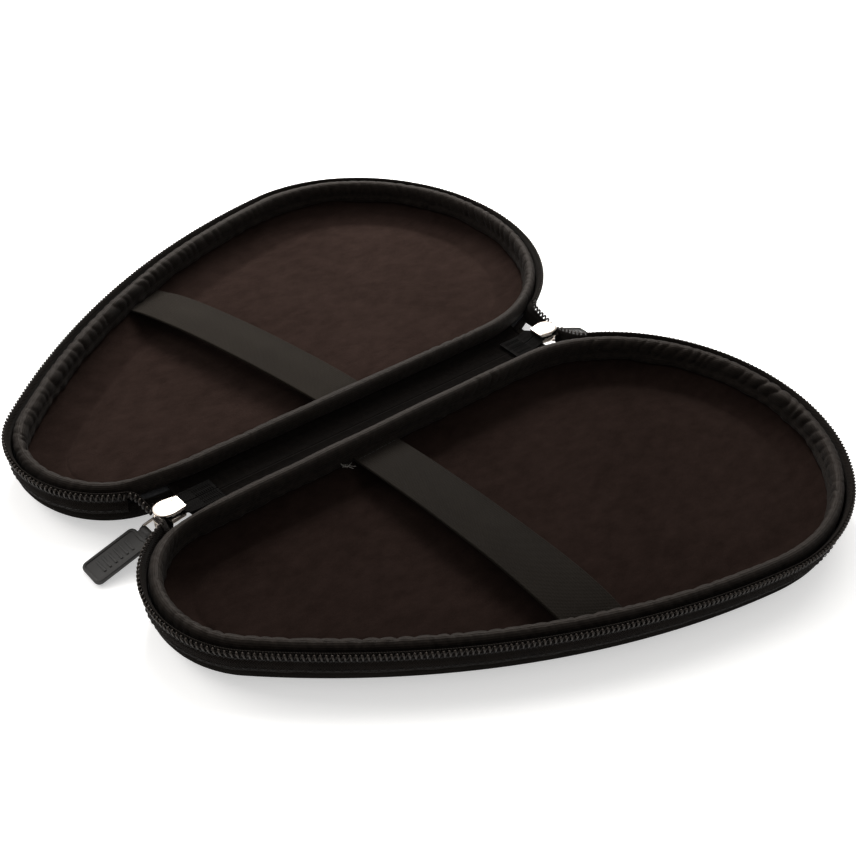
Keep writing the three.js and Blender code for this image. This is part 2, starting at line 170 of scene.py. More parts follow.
bow = bow_centre()
narrow_end = math.atan2(*(narrow_centre - bow)[::-1])
wide_start = math.atan2(*(wide_centre - bow)[::-1])
ARCS = (
    (narrow_centre, NARROW_RADIUS, -math.pi, narrow_end),
    (bow, BOW_RADIUS, narrow_end, wide_start),
    (wide_centre, WIDE_RADIUS, wide_start, math.pi),
)
ARC_LENGTHS = [radius * (end - start) for _, radius, start, end in ARCS]
PERIMETER = sum(ARC_LENGTHS) + HINGE_SIDE


def outline(s):
    """Points and outward normals at arc lengths s, counter-clockwise from the hinge side's near end."""
    s = np.mod(s, PERIMETER)
    point, normal = np.empty((s.size, 2)), np.empty((s.size, 2))
    passed = 0
    for (centre, radius, start, _), length in zip(ARCS, ARC_LENGTHS):
        here = (s >= passed) & (s <= passed + length)
        angle = start + (s[here] - passed) / radius
        normal[here] = np.stack([np.cos(angle), np.sin(angle)], 1)
        point[here] = centre + radius * normal[here]
        passed += length
    here = s > passed
    normal[here] = (-1, 0)
    point[here] = np.stack([np.full(here.sum(), FOLD_X), WIDE_Y - (s[here] - passed)], 1)
    return point, normal


def place(s, inset, height, side):
    """Points of a half: arc lengths s down the rows, insets and heights across the columns."""
    point, normal = outline(s)
    inset, height = np.broadcast_arrays(inset, height)
    if inset.ndim == 1:
        inset, height = (np.broadcast_to(v, (s.size, v.size)) for v in (inset, height))
    xy = point[:, None] - inset[..., None] * normal[:, None]
    return np.concatenate([xy, height[..., None]], 2) * (side, 1, 1)


def place_line(s, inset, height, side):
    """A line round a half at one inset and one height."""
    return place(s, np.array([inset]), np.array([height]), side)[:, 0]


# ---- Mesh building ----


def lengths(points, closed):
    """Running length along points, with the closing step at the end if they close."""
    ring = np.concatenate([points, points[:1]]) if closed else points
    return np.concatenate([[0], np.cumsum(np.linalg.norm(np.diff(ring, axis=0), axis=1))])


def grid(points, closed_rows=False, closed_columns=False, caps=False, plane_from=None):
    """Quads over rows x columns of points, as (points, faces, uvs).

    The uvs are lengths in metres along the rows and columns, or x and y outside the slice plane_from."""
    rows, columns = points.shape[:2]
    i, j = np.meshgrid(
        np.arange(rows if closed_rows else rows - 1),
        np.arange(columns if closed_columns else columns - 1),
        indexing="ij",
    )
    corners = [(i, j), (i + 1, j), (i + 1, j + 1), (i, j + 1)]
    faces = np.stack([(a % rows) * columns + b % columns for a, b in corners], -1).reshape(-1, 4)
    u = lengths(points[:, columns // 2], closed_rows)
    v = lengths(points[rows // 3], closed_columns)
    uvs = np.stack([np.stack([u[a], v[b]], -1) for a, b in corners], 2).reshape(-1, 4, 2)
    if plane_from is not None:
        flat = (j < plane_from.start) | (j >= plane_from.stop)
        uvs[flat.ravel()] = points.reshape(-1, 3)[faces[flat.ravel()]][..., :2]
    faces, uvs = faces.tolist(), uvs.reshape(-1, 2)
    if caps:
        last = (rows - 1) * columns
        faces += [list(range(columns))[::-1], list(range(last, last + columns))]
        ends = points.reshape(-1, 3)[faces[-2] + faces[-1]]
        uvs = np.concatenate([uvs, ends[:, :2]])
    return points.reshape(-1, 3), faces, uvs


def outward(part):
    """The part with its faces turned out."""
    points, faces, uvs = part
    volume = 0.0
    for face in faces:
        corner = points[face]
        volume += np.sum(np.cross(corner[1:-1], corner[2:]) @ corner[0])
    if volume >= 0:
        return part
    turned, start = [], 0
    for face in faces:
        turned.append(uvs[start:start + len(face)][::-1])
        start += len(face)
    return points, [face[::-1] for face in faces], np.concatenate(turned)


def piece(name, parts, material, body=None, node=None, merge=False):
    """One mesh object of closed parts. It rides a body and replaces a CAD node, if they are given."""
    points, faces, uvs, offset = [], [], [], 0
    for part in map(outward, parts):
        points.append(part[0])
        faces += [[offset + v for v in face] for face in part[1]]
        uvs.append(part[2])
        offset += len(part[0])
    mesh = bpy.data.meshes.new(name)
    mesh.from_pydata(np.concatenate(points).tolist(), [], faces)
    flat = np.concatenate(uvs).astype(np.float32).ravel()
    mesh.uv_layers.new(name=UV_NAME).data.foreach_set("uv", flat)
    if merge:
        work = bmesh.new()
        work.from_mesh(mesh)
        bmesh.ops.remove_doubles(work, verts=work.verts, dist=WELD)
        work.to_mesh(mesh)
        work.free()
    mesh.shade_smooth()
    mesh.materials.append(material)
    made = bpy.data.objects.new(name, mesh)
    scene.collection.objects.link(made)
    if body:
        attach(made, body)
    if node:
        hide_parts(node)
    return made


def unit(vectors):
    return vectors / np.linalg.norm(vectors, axis=-1, keepdims=True)


def resample(line, count):
    """Columns of a line's coordinates, at evenly spaced steps along its points."""
    fine = np.linspace(0, len(line) - 1, count)
    return along(fine, np.arange(len(line)), line).T


def along(t, run, line):
    """Points of a line, each coordinate read at t against the running values of its points."""
    return np.stack([np.interp(t, run, line[:, k]) for k in range(line.shape[1])], 1)


def squared(value, power):
    """A sine or cosine pushed towards -1 and 1, which turns an ellipse into a rounded rectangle."""
    return np.sign(value) * np.abs(value) ** power


def scaled_rows(rows, scale=MM):
    return [(inset * scale, height * scale) for inset, height in rows]


def tube(path, radius, sides=6, reference=UP, closed=False):
    """Round tube along a path.

    reference is a vector, or one for each point, that the path never runs along."""
    path = np.asarray(path, float)
    if closed:
        tangent = unit(np.roll(path, -1, 0) - np.roll(path, 1, 0))
    else:
        tangent = unit(np.gradient(path, axis=0))
    across = unit(np.cross(tangent, np.broadcast_to(reference, path.shape)))
    up = np.cross(across, tangent)
    angle = 2 * np.pi * np.arange(sides) / sides
    radius = np.broadcast_to(radius, len(path))[:, None, None]
    ring = across[:, None] * np.cos(angle)[:, None] + up[:, None] * np.sin(angle)[:, None]
    return grid(path[:, None] + radius * ring, closed, True, caps=not closed)


def prism(plan, profile, place_at):
    """Solid with a smooth plan outline and a side profile of (inset, height) from bottom to top."""
    ahead, behind = np.roll(plan, -1, 0), np.roll(plan, 1, 0)
    tangent = unit(ahead - behind)
    normal = np.stack([tangent[:, 1], -tangent[:, 0]], 1)
    rings = [
        np.concatenate([plan - inset * normal, np.full((len(plan), 1), height)], 1)
        for inset, height in profile
    ]
    points, faces, uvs = grid(np.stack(rings), False, True, caps=True)
    return place_at(points), faces, uvs


def rounded_rectangle(width, length, radius, steps=6, centre=(0, 0)):
    points = []
    for quarter, (sx, sy) in enumerate([(1, 1), (-1, 1), (-1, -1), (1, -1)]):
        angle = (quarter + np.linspace(0, 1, steps)) * np.pi / 2
        corner = np.array([sx * (width / 2 - radius), sy * (length / 2 - radius)]) + centre
        points.append(corner + radius * np.stack([np.cos(angle), np.sin(angle)], 1))
    return np.concatenate(points)


def wander(s, wavelength, seed, period=PERIMETER):
    """Smooth random curve of about unit size, periodic over the outline."""
    rng = np.random.default_rng(seed)
    waves = max(2, round(period / wavelength))
    numbers = np.arange(1, waves + 1)
    size = rng.normal(size=(2, waves)) / math.sqrt(waves)
    angle = 2 * np.pi * np.outer(s, numbers) / period
    return np.cos(angle) @ size[0] + np.sin(angle) @ size[1]


# ---- Materials ----


WARM = (1.0, 0.86, 0.76, 1)
RAMP_ENDS = (0.3, 0.7)


class Shader:
    """A procedural material, with short calls for the nodes it is made of."""

    def __init__(self, name, **sockets):
        self.material = bpy.data.materials.new(name)
        self.material.use_nodes = True
        self.tree = self.material.node_tree
        self.surface = self.tree.nodes["Principled BSDF"]
        for socket, value in sockets.items():
            self.surface.inputs[socket.replace("_", " ")].default_value = value

    def node(self, kind, inputs=None, **settings):
        made = self.tree.nodes.new("ShaderNode" + kind)
        for key, value in settings.items():
            setattr(made, key, value)
        for key, value in (inputs or {}).items():
            if isinstance(value, bpy.types.NodeSocket):
                self.tree.links.new(value, made.inputs[key])
            else:
                made.inputs[key].default_value = value
        return made

    def math(self, operation, *values):
        return self.node("Math", dict(enumerate(values)), operation=operation).outputs[0]

    def mix(self, total, *terms):
        """A number plus each input times its weight."""
        for value, weight in terms:
            total = self.math("MULTIPLY_ADD", value, weight, total)
        return total

    def object_point(self):
        return self.node("TexCoord").outputs["Object"]

    def flat_point(self):
        """(u, v) of the piece's own lengths, in metres."""
        split = self.node("SeparateXYZ", {0: self.node("UVMap", uv_map=UV_NAME).outputs[0]})
        return split.outputs[0], split.outputs[1]

    def noise(self, size, detail=2.0, roughness=0.5, stretch=None):
        """Noise with features of a size in metres."""
        vector = self.object_point()
        if stretch:
            vector = self.node("Mapping", {"Vector": vector, "Scale": stretch}).outputs[0]
        settings = {"Vector": vector, "Scale": 1 / size, "Detail": detail, "Roughness": roughness}
        return self.node("TexNoise", settings).outputs[0]

    def ripple(self, coordinate, pitch):
        """Sine of a length, from -1 to 1."""
        return self.math("SINE", self.math("MULTIPLY", coordinate, 2 * math.pi / pitch))

    def colour(self, factor, dark, light, scale=1.0):
        ramp = self.node("ValToRGB", {0: factor})
        for element, position, value in zip(ramp.color_ramp.elements, RAMP_ENDS, (dark, light)):
            element.position = position
            element.color = (*(scale * channel for channel in value), 1)
        self.tree.links.new(ramp.outputs[0], self.surface.inputs["Base Color"])

    def flatness(self, sloping, level):
        """1 where the unposed surface is level, 0 where the height of its normal is down to sloping."""
        height = self.node("SeparateXYZ", {0: self.node("TexCoord").outputs["Normal"]}).outputs[2]
        return self.node("MapRange", {0: height, 1: sloping, 2: level}).outputs[0]

    def paint_shade(self, factor, share):
        """Paints shade by scaling the base colour from a share of itself, at factor 0, to all of it at 1.
        """
        colour = self.surface.inputs["Base Color"].links[0].from_socket
        scale = self.mix(share, (factor, 1 - share))
        scaled_colour = self.node("VectorMath", {0: colour, "Scale": scale}, operation="SCALE")
        self.tree.links.new(scaled_colour.outputs[0], self.surface.inputs["Base Color"])

    def vary_roughness(self, factor, smooth, rough):
        spread = self.node("MapRange", {0: factor, 3: smooth, 4: rough})
        self.tree.links.new(spread.outputs[0], self.surface.inputs["Roughness"])

    def bump(self, *layers):
        """The material, with bumps of (height from 0 to 1, depth in metres), one over the other."""
        below = None
        for height, depth in layers:
            bump = self.node("Bump", {"Height": height, "Distance": depth, "Strength": 1.0})
            if below:
                self.tree.links.new(below, bump.inputs["Normal"])
            below = bump.outputs[0]
        self.tree.links.new(below, self.surface.inputs["Normal"])
        return self.material


def cover_fabric():
    shade = Shader("cover_fabric", Sheen_Weight=0.015, Sheen_Roughness=0.5, Specular_IOR_Level=0.0)
    u, v = shade.flat_point()
    thread = 0.55 * MM
    weave = shade.math("MULTIPLY", shade.ripple(u, 2 * thread), shade.ripple(v, 2 * thread))
    wear = shade.noise(14 * MM, 4, 0.6)
    grain = shade.noise(0.5 * MM, 2)
    tone = shade.mix(0.0, (weave, 0.22), (grain, 0.5), (wear, 0.5))
    shade.colour(tone, (0.0022, 0.0018, 0.0015), (0.0075, 0.0062, 0.0052))
    shade.vary_roughness(wear, 0.7, 0.9)
    return shade.bump((weave, 0.10 * MM), (grain, 0.08 * MM))


# Painted shade: the velour's walls are darker than its floor, the lid's walls more than the base's.
WALL_SHADE_SHARES = {"base": 0.95, "lid": 0.7}  # how much of its colour the velour keeps on the walls


def velour(half, painted_shade_scale):
    shade = Shader(f"{half}_velour", Sheen_Weight=0.05 * painted_shade_scale, Sheen_Roughness=0.5,
                   Sheen_Tint=(0.9, 0.66, 0.56, 1), Specular_IOR_Level=0.0)
    pile = shade.noise(0.35 * MM, 3, 0.7)
    nap = shade.noise(5 * MM, 5, 0.65, (1, 0.55, 1))
    shading = shade.noise(60 * MM, 3)
    tone = shade.mix(-0.27, (nap, 0.7), (pile, 0.5), (shading, 0.35))
    shade.colour(tone, (0.0085, 0.0051, 0.0042), (0.0180, 0.0112, 0.0095), painted_shade_scale)
    # painted shade: the walls keep only their share of the colour, darker than the level floor
    shade.paint_shade(shade.flatness(0.93, 0.998), WALL_SHADE_SHARES[half])
    shade.vary_roughness(nap, 0.85, 1.0)
    return shade.bump((nap, 0.25 * MM), (pile, 0.22 * MM))


def satin(name="binding_satin", dark=0.0052, shine=0.08):
    shade = Shader(name, Sheen_Weight=0.02, Specular_IOR_Level=shine, Specular_Tint=WARM)
    u, v = shade.flat_point()
    floats = shade.ripple(u, 0.42 * MM)
    rows = shade.ripple(v, 0.9 * MM)
    crease = shade.noise(2.2 * MM, 4, 0.6)
    wear = shade.noise(25 * MM, 3)
    # painted shade in the creases: the colour follows the crease bump, darker in its hollows and lighter
    # on its ridges
    tone = shade.mix(crease, (floats, 0.08), (rows, 0.08))
    shade.colour(tone, (1, 0.79, 0.68), (2.6, 2.05, 1.74), dark)
    shade.vary_roughness(shade.mix(0.0, (crease, 0.5), (wear, 0.5)), 0.46, 0.66)
    return shade.bump((crease, 0.28 * MM), (floats, 0.03 * MM), (rows, 0.03 * MM))


def elastic(half, painted_shade_scale):
    shade = Shader(f"{half}_elastic", Sheen_Weight=0.03, Sheen_Roughness=0.4, Specular_IOR_Level=0.05,
                   Specular_Tint=WARM)
    u, v = shade.flat_point()
    rib = shade.ripple(v, 1.05 * MM)
    pick = shade.ripple(u, 0.8 * MM)
    knit = shade.math("MULTIPLY", rib, pick)
    fuzz = shade.noise(0.4 * MM, 3, 0.7)
    wear = shade.noise(18 * MM, 3)
    tone = shade.mix(0.05, (knit, 0.12), (fuzz, 0.6), (wear, 0.3))
    shade.colour(tone, (0.0070, 0.0055, 0.0041), (0.0170, 0.0138, 0.0106), painted_shade_scale)
    shade.vary_roughness(fuzz, 0.65, 0.9)
    return shade.bump((knit, 0.10 * MM), (fuzz, 0.08 * MM))


def herringbone(name="zip_tape", painted_shade_scale=1.0):
    shade = Shader(name, Sheen_Weight=0.02, Specular_IOR_Level=0.02)
    u, v = shade.flat_point()
    fold_back = shade.math("PINGPONG", v, 1.5 * MM)
    twill = shade.ripple(shade.math("ADD", u, fold_back), 1.0 * MM)
    fuzz = shade.noise(0.4 * MM, 3, 0.7)
    wear = shade.noise(16 * MM, 4)
    tone = shade.mix(0.05, (twill, 0.2), (fuzz, 0.5), (wear, 0.4))
    shade.colour(tone, (0.0021, 0.0016, 0.0013), (0.0095, 0.0072, 0.0058), painted_shade_scale)
    shade.vary_roughness(fuzz, 0.6, 0.9)
    return shade.bump((twill, 0.12 * MM), (fuzz, 0.06 * MM))


def nylon():
    shade = Shader("zip_nylon", Specular_IOR_Level=0.22, Specular_Tint=WARM)
    dust = shade.noise(1.2 * MM, 4, 0.7)
    drawn = shade.noise(0.5 * MM, 2, 0.5, (1, 1, 0.2))
    shade.colour(dust, (0.0040, 0.0032, 0.0027), (0.0150, 0.0122, 0.0104))
    shade.vary_roughness(dust, 0.34, 0.6)
    return shade.bump((drawn, 0.05 * MM), (dust, 0.04 * MM))


def thread():
    shade = Shader("sewing_thread", Sheen_Weight=0.05, Specular_IOR_Level=0.25)
    u, v = shade.flat_point()
    twist = shade.ripple(shade.math("ADD", u, shade.math("MULTIPLY", v, 0.8)), 0.5 * MM)
    fuzz = shade.noise(0.3 * MM, 3, 0.7)
    shade.colour(shade.mix(fuzz, (twist, 0.2)), (0.0024, 0.0019, 0.0016), (0.0086, 0.0068, 0.0058))
    shade.vary_roughness(fuzz, 0.5, 0.8)
    return shade.bump((twist, 0.08 * MM))


def loose_thread():
    shade = Shader("pale_thread", Sheen_Weight=0.3)
    fuzz = shade.noise(0.4 * MM, 3, 0.7)
    shade.colour(fuzz, (0.09, 0.085, 0.075), (0.26, 0.25, 0.23))
    shade.vary_roughness(fuzz, 0.5, 0.8)
    return shade.bump((fuzz, 0.05 * MM))


def nickel():
    shade = Shader("nickel", Metallic=1.0)
    tarnish = shade.noise(2.5 * MM, 4, 0.6)
    scratches = shade.noise(0.25 * MM, 3, 0.6, (1, 0.08, 1))
    dents = shade.noise(3.5 * MM, 1)
    shade.colour(tarnish, (0.48, 0.42, 0.37), (0.66, 0.59, 0.53))
    shade.vary_roughness(scratches, 0.26, 0.46)
    return shade.bump((dents, 0.05 * MM), (scratches, 0.012 * MM))


def rubber():
    shade = Shader("pull_rubber", Specular_IOR_Level=0.4)
    grain = shade.noise(0.3 * MM, 3, 0.6)
    scuffs = shade.noise(4 * MM, 5, 0.7)
    shade.colour(scuffs, (0.0032, 0.0028, 0.0025), (0.0100, 0.0089, 0.0080))
    shade.vary_roughness(scuffs, 0.42, 0.68)
    return shade.bump((grain, 0.05 * MM), (scuffs, 0.03 * MM))


def foam():
    shade = Shader("eva_foam", Specular_IOR_Level=0.25)
    cells = shade.node("TexVoronoi", {"Vector": shade.object_point(), "Scale": 1 / (0.7 * MM)}).outputs[0]
    mottle = shade.noise(6 * MM, 3)
    tone = shade.mix(0.0, (cells, 0.4), (mottle, 0.6))
    shade.colour(tone, (0.010, 0.010, 0.011), (0.028, 0.028, 0.031))
    shade.vary_roughness(mottle, 0.8, 0.95)
    return shade.bump((cells, 0.12 * MM))


# Painted shade: the chain tape is a fifth as bright as the zip tape, for the shade in the valley between
# the halves.
CHAIN_TAPE = herringbone("chain_tape", 0.2)
# Painted shade: the spine satin is darker than the binding satin and has no specular, for the shade in
# the valley between the halves.
SPINE_SATIN = satin("spine_satin", 0.0012, 0.0)
# Painted shade: the base copies of the velour and the elastic are darker, and the velour has less sheen,
# than the lid copies, the base half being lit less than the lid.
VELOURS = {"base": velour("base", 0.62), "lid": velour("lid", 0.95)}
ELASTICS = {"base": elastic("base", 0.48), "lid": elastic("lid", 0.85)}
COVER, SATIN, TAPE, NYLON, THREAD, PALE_THREAD, NICKEL, RUBBER, FOAM = (make() for make in (
    cover_fabric, satin, herringbone, nylon, thread, loose_thread, nickel, rubber, foam,
))

# ---- Moulded walls: cover outside, velour inside ----

ARC_STATIONS = (80, 150, 210)
COVER_THICKNESS = 0.9 * MM
LINING_THICKNESS = 0.8 * MM
LINING_SLACK = 0.7
PLATEAU_INSETS = {"base": 18.5 * MM, "lid": 22.5 * MM}
PLATEAU_RISE = 0.45 * MM
PLATEAU_REACH = 0.16
CREASE_DEPTH = 0.12 * MM
CREASE_AT, CREASE_SPREAD = 0.04, 0.03  # shares of the way from the wall to the middle line


def wall_stations():
    """Arc lengths of the wall's stations, as many on the outer bow as on the hinge side."""
    edges = np.concatenate([[0], np.cumsum(ARC_LENGTHS), [PERIMETER]])
    counts = (*ARC_STATIONS, ARC_STATIONS[1])
    spans = zip(edges[:-1], edges[1:], counts)
    return np.concatenate([np.linspace(start, end, count, endpoint=False) for start, end, count in spans])


def middle_line(side):
    """For each station, the point between the two end centres that its spoke runs to."""
    narrow, along, wide = ARC_STATIONS
    steps = np.arange(along) / along
    share = np.concatenate([np.zeros(narrow), steps, np.ones(wide), 1 - steps])
    xy = narrow_centre + share[:, None] * (wide_centre - narrow_centre)
    return xy * (side, 1)


def wall_profile(inset, floor, top, steps=12, slack=0.0, corner_inset=CORNER_INSET):
    """(inset, height) from the flat bottom, round the corner and up to the top.

    With slack the corner is stretched from an ellipse towards a straight slope."""
    angle = np.linspace(np.pi / 2, 0, steps)
    corner = np.stack([
        corner_inset - (corner_inset - inset) * np.cos(angle),
        CORNER_HEIGHT - (CORNER_HEIGHT - floor) * np.sin(angle),
    ], 1)
    straight = floor + (CORNER_HEIGHT - floor) * (corner_inset - corner[:, 0]) / (corner_inset - inset)
    corner[:, 1] += slack * (straight - corner[:, 1])
    wall = np.stack([np.full(3, inset), np.linspace(CORNER_HEIGHT, top, 4)[1:]], 1)
    return np.concatenate([corner, wall])


def spokes(ring, middle, height, rings):
    """Rows of points from a ring in to the middle line, at a height given for each share of the way."""
    share = np.linspace(0, 1, rings + 1)[1:]
    flat = ring[:, None, :2] + share[:, None] * (middle[:, None] - ring[:, None, :2])
    return np.concatenate([flat, np.broadcast_to(height(share), flat.shape[:2])[..., None]], 2)


def dish(outer, inner, side, rings, floor_height):
    """Closed shell between two wall profiles, with flat floors that meet on the middle line."""
    s = wall_stations()
    middle = middle_line(side)
    wall = np.concatenate([outer, inner[::-1]])
    walls = place(s, wall[:, 0], wall[:, 1], side)
    below = spokes(walls[:, 0], middle, lambda share: outer[0, 1] + 0 * share, rings)[:, ::-1]
    above = spokes(walls[:, -1], middle, floor_height, rings)
    return grid(np.concatenate([below, walls, above], 1), True,
                plane_from=slice(rings, rings + walls.shape[1] - 1))


def build_cover(half, side):
    outer = wall_profile(COVER_INSET, COVER_LOW.z, WALL_TOP)
    floor = COVER_LOW.z + COVER_THICKNESS
    turned_in = np.array([(0.1, 0.15), (0.5, 0.3)]) * MM + (COVER_INSET, WALL_TOP)
    inner = wall_profile(COVER_INSET + COVER_THICKNESS, floor, WALL_TOP)
    bowl = dish(np.concatenate([outer, turned_in]), inner, side, 6, lambda share: floor + 0 * share)
    piece(f"{half}_cover_fabric", [bowl], COVER, half, f"{half}_cover", merge=True)


def build_lining(half, side):
    floor = LINING_LOW.z + LINING_THICKNESS
    outer = wall_profile(LINING_INSET, LINING_LOW.z, WALL_TOP)
    inner = wall_profile(LINING_INSET + LINING_THICKNESS, floor, WALL_TOP, 24, LINING_SLACK,
                         PLATEAU_INSETS[half])

    def floor_height(share):
        dip = -CREASE_DEPTH * np.exp(-(((share - CREASE_AT) / CREASE_SPREAD) ** 2))
        step = PLATEAU_RISE * np.clip((share - CREASE_SPREAD) / PLATEAU_REACH, 0, 1) ** 0.5
        return floor + dip + step

    bowl = dish(outer, inner, side, 40, floor_height)
    piece(f"{half}_velour", [bowl], VELOURS[half], half, f"{half}_lining", merge=True)


# ---- Padded binding roll ----

ROLL_STATIONS = 1100
ROLL_SIDES = 30
ROLL_STANDS = 0.9 * MM  # how far the soft roll stands above its CAD solid
ROLL_SPREADS = 0.5 * MM
ROLL_VISIBLE_WIDTH = 5.6 * MM
ROLL_SETTLES = 0.4 * MM
ROLL_SQUARENESS = 0.82
ROLL_RECESS = 2.2 * MM  # how far the roll steps back beside the near slider
RECESS_LENGTH = 13 * MM
FACING_DROP = 2.4 * MM  # how far the binding's facing hangs below the roll
FACING_AT = 0.62  # share of the way round the roll's section where the facing starts


def puffs(s, seed, shortest, longest):
    """Height from 0 at each gather to 1 between gathers, which are unevenly spaced round the outline."""
    rng = np.random.default_rng(seed)
    gaps = rng.uniform(shortest, longest, round(2 * PERIMETER / (shortest + longest)))
    pinches = np.concatenate([[0], np.cumsum(gaps)]) * PERIMETER / gaps.sum()
    depth = rng.uniform(0.35, 1.0, len(gaps))
    depth = np.append(depth, depth[0])
    s = np.mod(s, PERIMETER)
    at = np.clip(np.searchsorted(pinches, s, "right") - 1, 0, len(gaps) - 1)
    share = (s - pinches[at]) / (pinches[at + 1] - pinches[at])
    puff = np.sqrt(np.clip(4 * share * (1 - share), 0, 1))
    return 1 - (1 - puff) * (depth[at] * (1 - share) + depth[at + 1] * share)


def gather_strength(s):
    """The binding gathers most where it goes round the two ends."""
    _, normal = outline(s)
    ends = np.abs(normal[:, 1]) ** 1.5
    return np.clip(0.30 + 0.85 * ends + 0.22 * wander(s, 60 * MM, 5), 0.12, 1.3)


def with_facing(s, inset, height, seed):
    """The roll's section with the thin facing that hangs from its inner lower edge over the lining."""
    at = round(ROLL_SIDES * FACING_AT)
    ruffle = 0.18 * MM * wander(s, 7 * MM, seed + 4)[:, None]
    hem = ROLL_LOW.z - FACING_DROP + 0.35 * MM * wander(s, 26 * MM, seed + 5)[:, None]
    face = LINING_INSET + 1.55 * MM + ruffle * np.array([0.3, 0.7, 1.0, 1.0])
    levels = ROLL_LOW.z - 0.3 * MM + (hem - ROLL_LOW.z) * np.array([0.05, 0.35, 0.7, 1.0])
    back = LINING_INSET + 1.1 * MM + 0 * ruffle
    inset = np.concatenate([inset[:, :at], face, back, back, inset[:, at + 1:]], 1)
    behind = np.concatenate([hem - 0.35 * MM, levels[:, :1]], 1)
    height = np.concatenate([height[:, :at], levels, behind, height[:, at + 1:]], 1)
    return inset, height


def build_binding(half, side, seed):
    s = np.arange(ROLL_STATIONS) * PERIMETER / ROLL_STATIONS
    angle = 2 * np.pi * np.arange(ROLL_SIDES) / ROLL_SIDES
    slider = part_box("near_slider")
    slider_y = (slider[0].y + slider[1].y) / 2
    point, normal = outline(s)
    on_hinge_side = np.maximum(0, -normal[:, 0]) ** 4
    recess = ROLL_RECESS * on_hinge_side * np.exp(-(((point[:, 1] - slider_y) / RECESS_LENGTH) ** 2))

    outer = (ROLL_LOW.x - FOLD_X - ROLL_SPREADS + recess)[:, None]
    inner = outer - recess[:, None] + ROLL_VISIBLE_WIDTH
    bottom, top = ROLL_LOW.z - ROLL_SETTLES, ROLL_HIGH.z + ROLL_STANDS
    skew = wander(s, 20 * MM, seed + 9)[:, None]
    slant = s[:, None] + 2.6 * MM * np.sin(angle) + 1.2 * MM * skew * np.cos(angle)
    shape = slant.shape
    near_outer = puffs(slant.ravel(), seed, 3.5 * MM, 8 * MM).reshape(shape)
    near_inner = puffs(slant.ravel() + 2 * MM, seed + 1, 3.8 * MM, 9 * MM).reshape(shape)
    to_outer = np.clip(np.cos(angle), 0, 1) ** 0.7
    to_inner = np.clip(-np.cos(angle), 0, 1) ** 0.7
    depth = 0.24 * to_outer * (1 - near_outer) + 0.50 * to_inner * (1 - near_inner)
    crown = 0.07 * np.sin(angle).clip(0, 1) * (2 - near_outer - near_inner)
    strength = gather_strength(s)[:, None]
    swell = 1 - strength * (depth + crown) + 0.02 * wander(s, 30 * MM, seed + 2)[:, None]
    across, upright = squared(np.cos(angle), ROLL_SQUARENESS), squared(np.sin(angle), ROLL_SQUARENESS)
    inset = (outer + inner) / 2 - (inner - outer) / 2 * across * swell
    height = (bottom + top) / 2 + (top - bottom) / 2 * upright * swell
    inset, height = with_facing(s, inset, height, seed)
    made = piece(f"{half}_rim_roll", [grid(place(s, inset, height, side), True, True)], SATIN,
                 half, f"{half}_binding")
    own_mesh(made)


# ---- Zip ----

NARROW_ARC_FREE = 2 / 12  # shares of the end arcs that the parked sliders keep free
WIDE_ARC_FREE = 2 / 14
TAPE_THICKNESS = 0.6 * MM
TAPE_WAVE = 0.12 * MM


def zip_ends():
    """Arc lengths at which the zip starts and ends on a half, beside the parked sliders."""
    return ARC_LENGTHS[0] * NARROW_ARC_FREE, sum(ARC_LENGTHS) - ARC_LENGTHS[2] * WIDE_ARC_FREE


ZIP_START, ZIP_END = zip_ends()
COIL_INSET = -0.3 * MM
COIL_MIDDLE = MEETING_Z - 2.5 * MM
COIL_LEAN = math.radians(24)
COIL_REACH = 1.95 * MM  # from the middle of the coil to the middle of the wire at its heads
COIL_DEPTH = 0.62 * MM


def build_tape(half, side):
    s = np.linspace(ZIP_START, ZIP_END, 560)
    profile = np.array([
        (0.75, -11.6), (0.35, -10.4), (0.2, -9.2), (0.3, -7.6), (0.85, -6.0), (1.2, -4.6), (0.9, -2.9),
        (-0.5, -0.1),
    ]) * MM + (0, MEETING_Z)
    inset, height = resample(profile, 22)
    wave = TAPE_WAVE * wander(s, 9 * MM, 31)[:, None] * np.exp(-(((height - TAPE_LOW.z) / (4 * MM)) ** 2))
    outer = inset + wave
    loop_inset = np.concatenate([outer, (outer + TAPE_THICKNESS)[:, ::-1]], 1)
    loop_height = np.broadcast_to(np.concatenate([height, height[::-1]]), loop_inset.shape)
    strip = grid(place(s, loop_inset, loop_height, side), False, True, caps=True)
    made = piece(f"{half}_tape", [strip], TAPE, half, f"{half}_zip_tape")


def coil(centre, head, out, turns, phase=0.0, per_turn=14):
    """Wound tooth coil: centre, head direction and outer side are functions of the turn number."""
    t = np.arange(turns * per_turn + 1) / per_turn
    angle = 2 * np.pi * (t + phase)
    high = squared(np.cos(angle), 0.75)[:, None]
    deep = squared(np.sin(angle), 0.8)[:, None]
    radial = COIL_REACH * high * head(t) + COIL_DEPTH * deep * out(t)
    radius = WIRE_RADIUS * (1 + 0.22 * np.clip(high[:, 0] - 0.6, 0, 1) / 0.4)
    return tube(centre(t) + radial, radius, 6, reference=radial)


